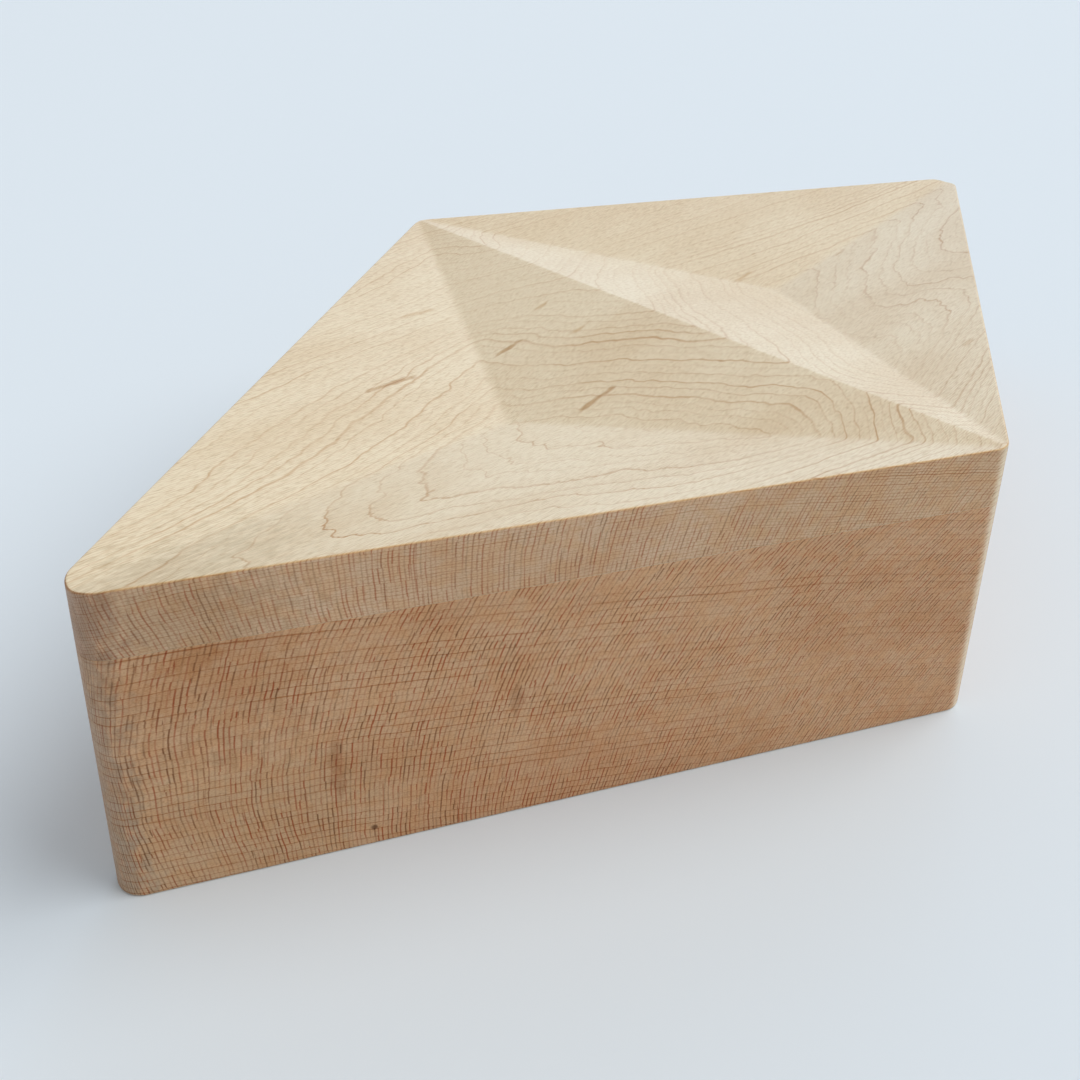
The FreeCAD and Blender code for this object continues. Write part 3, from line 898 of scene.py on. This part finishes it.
def spun(profile, centre, size=EDGE_BREAK):
    """A surface of revolution: point(u, v) = (centre + r(v) * (cos u, sin u), z(v)) for an outline r(v), z(v).

    An outline that starts off the axis is closed into a ring. One that starts on the axis also ends there.
    """
    outline_points = broken_edges(profile, size)
    if profile[0][0] > 0:
        outline_points = np.vstack([outline_points, outline_points[:1]])
    return sheet([at_height(circle(centre, radius, TURN_POINTS), height) for radius, height in outline_points])


def rod_profile(radius, low, high):
    return [(0, low), (radius, low), (radius, high), (0, high)]


def tube_profile(outer, bore, low, high):
    return [(bore, low), (outer, low), (outer, high), (bore, high)]


# %% [markdown]
# The swivel is a flanged brass bush in the block and a brass insert in the lid, with a brass stop pin beside them.
# Each lock is a steel pin in a brass sleeve under a brass cup, and two pairs of magnets hold the lid shut.

# %% Every fitting that can be seen when the lid is open
def fitting(node, body, finish_of_fitting, surfaces):
    """A turned piece that takes a node's place on its body."""
    piece = closed_piece(node + "_turned", surfaces)
    piece.data.materials.append(finish_of_fitting)
    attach(piece, body)
    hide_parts(node)


bush_foot, bush_top = levels("pivot_bush")
flange_low = bush_top - FLANGE_THICKNESS
flange_radius = radius_of("pivot_bush")
bush_profile = [(SHANK_RADIUS, bush_foot), (BUSH_RADIUS, bush_foot), (BUSH_RADIUS, flange_low),
                (flange_radius, flange_low), (flange_radius, bush_top), (SHANK_RADIUS, bush_top)]
fitting("pivot_bush", "case", BRASS, [spun(bush_profile, PIVOT)])
insert_foot, insert_top = levels("pivot_insert")
insert_profile = tube_profile(radius_of("pivot_insert"), THREAD_RADIUS, insert_foot + INSERT_RECESS, insert_top)
fitting("pivot_insert", "lid", BRASS, [spun(insert_profile, PIVOT)])
stop_profile = rod_profile(radius_of("stop_pin"), *levels("stop_pin"))
fitting("stop_pin", "case", BRASS, [spun(stop_profile, STOP)])

for name, place in LOCKS.items():
    pin, sleeve, cup = "lock_pin_" + name, "lock_sleeve_" + name, "strike_cup_" + name
    pin_profile = rod_profile(radius_of(pin), *levels(pin))
    fitting(pin, pin, STEEL, [spun(pin_profile, place, PIN_BREAK)])
    sleeve_profile = tube_profile(radius_of(sleeve), LOCK_BORE, *levels(sleeve))
    fitting(sleeve, "case", BRASS, [spun(sleeve_profile, place)])
    mouth, cup_top = levels(cup)
    ceiling = cup_top - CUP_WALL
    cup_profile = [(0, ceiling), (CUP_BORE, ceiling), (CUP_BORE, mouth), (radius_of(cup), mouth),
                   (radius_of(cup), cup_top), (0, cup_top)]
    fitting(cup, "lid", BRASS, [spun(cup_profile, place)])

for node, body in (("catch_magnets_block", "case"), ("catch_magnets_lid", "lid")):
    magnet_profile = rod_profile(CATCH_RADIUS, *levels(node))
    fitting(node, body, NICKEL, [spun(magnet_profile, place) for place in CATCHES])

# %% [markdown]
# What no pose ever shows keeps the model's own shape: the floor board, the bolt and washer below the bush, and
# the magnets at the ends of the locks. They still get a finish.

# %% Finishes of the nodes that are kept
KEPT = {"floor_panel": FLOOR_MAPLE, "pivot_bolt": STEEL, "pivot_washer": BRASS,
        "rest_magnet_tip": NICKEL, "rest_magnet_web": NICKEL, "lift_magnet_tip": NICKEL, "lift_magnet_web": NICKEL}
for node, finish_of_node in KEPT.items():
    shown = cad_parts[node]
    shown.data.materials.clear()
    shown.data.materials.append(finish_of_node)
print("finished nodes:", len(KEPT))

# %% [markdown]
# ## Camera
# The photograph was taken from close by and above the near side. Its corners give the camera's place, its
# tilt and how far the picture was cropped off centre.

# %% The photograph's viewpoint
PHOTO_WIDTH = 1080
FOCAL_PIXELS = 1211.8
AXIS_PIXEL = (591.5, 305.9)
PITCH = math.radians(24.238)
ROLL = math.radians(2.038)
HEADING = math.radians(-49.021)
CAMERA_PLACE = (-0.18138, -0.13859, 0.16054)

camera_data = bpy.data.cameras.new("camera")
camera_data.sensor_width = 36
camera_data.lens = FOCAL_PIXELS / PHOTO_WIDTH * camera_data.sensor_width
camera_data.shift_x = 0.5 - AXIS_PIXEL[0] / PHOTO_WIDTH
camera_data.shift_y = AXIS_PIXEL[1] / PHOTO_WIDTH - 0.5
camera_data.clip_start = 0.01
camera = bpy.data.objects.new("camera", camera_data)
turned = Matrix.Rotation(HEADING, 4, "Z") @ Matrix.Rotation(math.pi / 2 - PITCH, 4, "X")
camera.matrix_world = Matrix.Translation(CAMERA_PLACE) @ turned @ Matrix.Rotation(ROLL, 4, "Z")
bpy.context.scene.collection.objects.link(camera)
bpy.context.scene.camera = camera
print("lens", round(camera_data.lens, 2), "mm, shift", round(camera_data.shift_x, 3), round(camera_data.shift_y, 3))

# %% [markdown]
# ## Floor and light
# The box stands on a plain pale sheet. A broad lamp far off to the right lights the lid and the far side, and the
# open sky of the room fills the near side.

# %% A pale floor
NEAR_REACH = 1.0
FAR_REACH = 400.0
floor_mesh = bpy.data.meshes.new("floor")
floor_lines = np.array([-FAR_REACH, -NEAR_REACH, NEAR_REACH, FAR_REACH])
across, along = np.meshgrid(floor_lines, floor_lines)
floor_points = at_height(np.column_stack([across.ravel(), along.ravel()]), 0)
first = np.add.outer(np.arange(3) * 4, np.arange(3)).ravel()
floor_mesh.from_pydata(floor_points, [], np.column_stack([first, first + 1, first + 5, first + 4]).tolist())
floor = bpy.data.objects.new("floor", floor_mesh)
bpy.context.scene.collection.objects.link(floor)
paper = bpy.data.materials.new("pale_paper")
paper.use_nodes = True
paper.node_tree.nodes["Principled BSDF"].inputs["Base Color"].default_value = (0.755, 0.833, 0.903, 1)
paper.node_tree.nodes["Principled BSDF"].inputs["Roughness"].default_value = 0.9
floor_mesh.materials.append(paper)

# %% One soft lamp and the light of the room
KEY_AZIMUTH = math.radians(-40)
KEY_HEIGHT = math.radians(52)
WINDOW_AZIMUTH = math.radians(24)
WINDOW_HEIGHT = math.radians(12)
WINDOW_EDGE = math.radians(42)
WINDOW_HEART = math.radians(8)
WALL_AZIMUTH = math.radians(195)
WALL_HEIGHT = math.radians(10)
WALL_EDGE = math.radians(100)
WALL_HEART = math.radians(20)
STRAIGHT_DOWN = math.radians(-90)
HORIZON_EDGE = math.radians(94)
HORIZON_HEART = math.radians(91)
ROOM_LEVEL = 0.49
WINDOW_LEVEL = 1.64
HORIZON_LEVEL = 1.0
ROOM_COLOUR = (0.90, 0.95, 1.0, 1.0)
WALL_COLOUR = (1.0, 0.93, 0.85, 1.0)
WINDOW_COLOUR = (0.80, 0.95, 1.14, 1.0)
HORIZON_COLOUR = (0.72, 0.80, 0.87, 1.0)


def towards(azimuth, height):
    """The unit direction of a compass angle in plan and an angle above the horizon."""
    flat = math.cos(height)
    return Vector((flat * math.cos(azimuth), flat * math.sin(azimuth), math.sin(height)))


key_data = bpy.data.lights.new("key", "SUN")
key_data.energy = 1.7
key_data.angle = math.radians(50)
key_data.color = (1.0, 0.98, 0.95)
key = bpy.data.objects.new("key", key_data)
key.rotation_mode = "QUATERNION"
key.rotation_quaternion = towards(KEY_AZIMUTH, KEY_HEIGHT).to_track_quat("Z", "Y")
bpy.context.scene.collection.objects.link(key)

world = bpy.data.worlds.new("room")
world.use_nodes = True
sky = world.node_tree
direction = sky.nodes.new("ShaderNodeTexCoord").outputs["Generated"]


def share_near(azimuth, height, edge, heart):
    """A smooth share of the sky: 0 further than the edge angle from a direction, 1 within the heart angle."""
    nearness = sky.nodes.new("ShaderNodeVectorMath")
    nearness.operation = "DOT_PRODUCT"
    nearness.inputs[1].default_value = towards(azimuth, height)
    sky.links.new(direction, nearness.inputs[0])
    share = sky.nodes.new("ShaderNodeMapRange")
    share.interpolation_type = "SMOOTHSTEP"
    share.inputs["From Min"].default_value = math.cos(edge)
    share.inputs["From Max"].default_value = math.cos(heart)
    sky.links.new(nearness.outputs["Value"], share.inputs["Value"])
    return share.outputs["Result"]


def between(share, first, second, kind="RGBA"):
    """One colour, or with kind FLOAT one level, turning into another by a share."""
    node = sky.nodes.new("ShaderNodeMix")
    node.data_type = kind
    first_socket, second_socket, result = (6, 7, 2) if kind == "RGBA" else (2, 3, 0)
    sky.links.new(share, node.inputs["Factor"])
    node.inputs[second_socket].default_value = second
    if isinstance(first, bpy.types.NodeSocket):
        sky.links.new(first, node.inputs[first_socket])
    else:
        node.inputs[first_socket].default_value = first
    return node.outputs[result]


wall_share = share_near(WALL_AZIMUTH, WALL_HEIGHT, WALL_EDGE, WALL_HEART)
window_share = share_near(WINDOW_AZIMUTH, WINDOW_HEIGHT, WINDOW_EDGE, WINDOW_HEART)
horizon_share = share_near(0.0, STRAIGHT_DOWN, HORIZON_EDGE, HORIZON_HEART)
room_colour = between(window_share, between(wall_share, ROOM_COLOUR, WALL_COLOUR), WINDOW_COLOUR)
room_level = between(window_share, ROOM_LEVEL, WINDOW_LEVEL, "FLOAT")
backdrop = sky.nodes["Background"].inputs
sky.links.new(between(horizon_share, room_colour, HORIZON_COLOUR), backdrop["Color"])
sky.links.new(between(horizon_share, room_level, HORIZON_LEVEL, "FLOAT"), backdrop["Strength"])
bpy.context.scene.world = world
bpy.context.scene.view_settings.view_transform = "Standard"
